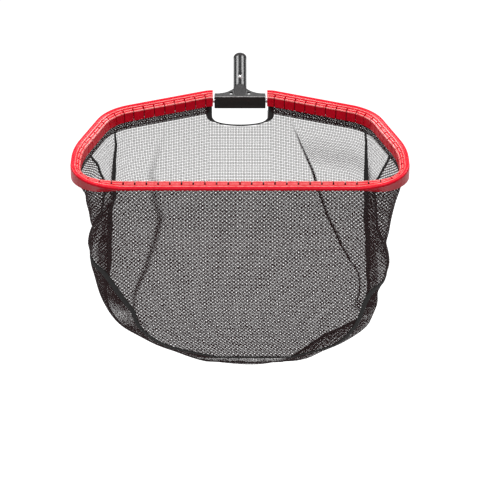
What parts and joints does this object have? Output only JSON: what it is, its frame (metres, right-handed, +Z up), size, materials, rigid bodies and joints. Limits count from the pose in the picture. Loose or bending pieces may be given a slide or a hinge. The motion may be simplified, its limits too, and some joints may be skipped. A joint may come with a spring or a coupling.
{
  "type": "leaf skimmer net",
  "caption": "Wide scoop-type leaf skimmer net: red channel rim with a tilted front lip over a rod hoop, deep black mesh bag, cast yoke and handle tube with a spring clip for a pole.",
  "frame": {"origin": "on the handle tube's axis, at the yoke's shoulder where a pole's end stops", "axes": "+X to the right along the hoop's width, +Y away from the scoop's lip towards the pole, +Z up"},
  "size_m": [0.61, 0.4696, 0.4757],
  "materials": {
    "red_plastic": "satin moulded",
    "aluminium": "drawn rod",
    "black_mesh": "open knitted mesh",
    "black_tape": "folded tape",
    "cast_black": "black on a casting",
    "gloss_black": "gloss",
    "stainless": "plain"
  },
  "bodies": {
    "skimmer": {"yoke_casting": "cast_black", "handle_tube": "gloss_black", "clip_spring": "stainless", "hoop_rod": "aluminium", "scoop_rim": "red_plastic", "rod_screw_left": "stainless", "rod_screw_right": "stainless", "net_sleeve": "black_mesh", "net_front_panel": "black_mesh", "net_back_panel": "black_mesh", "net_gusset": "black_mesh", "front_seam_binding": "black_tape", "back_seam_binding": "black_tape", "mouth_binding": "black_tape"},
    "upper_button": {"clip_button_upper": "stainless"},
    "lower_button": {"clip_button_lower": "stainless"}
  },
  "joints": [
    {"name": "upper_button_press", "type": "slide", "parent": "skimmer", "child": "upper_button", "axis": [0, -0.225, 0.9744], "range_m": [-0.0045, 0], "stiffness_N_per_m": 1500, "deforming": ["clip_spring"]},
    {"name": "lower_button_press", "type": "slide", "parent": "skimmer", "child": "lower_button", "axis": [0, 0.225, -0.9744], "range_m": [-0.0045, 0], "stiffness_N_per_m": 1500, "deforming": ["clip_spring"]}
  ]
}
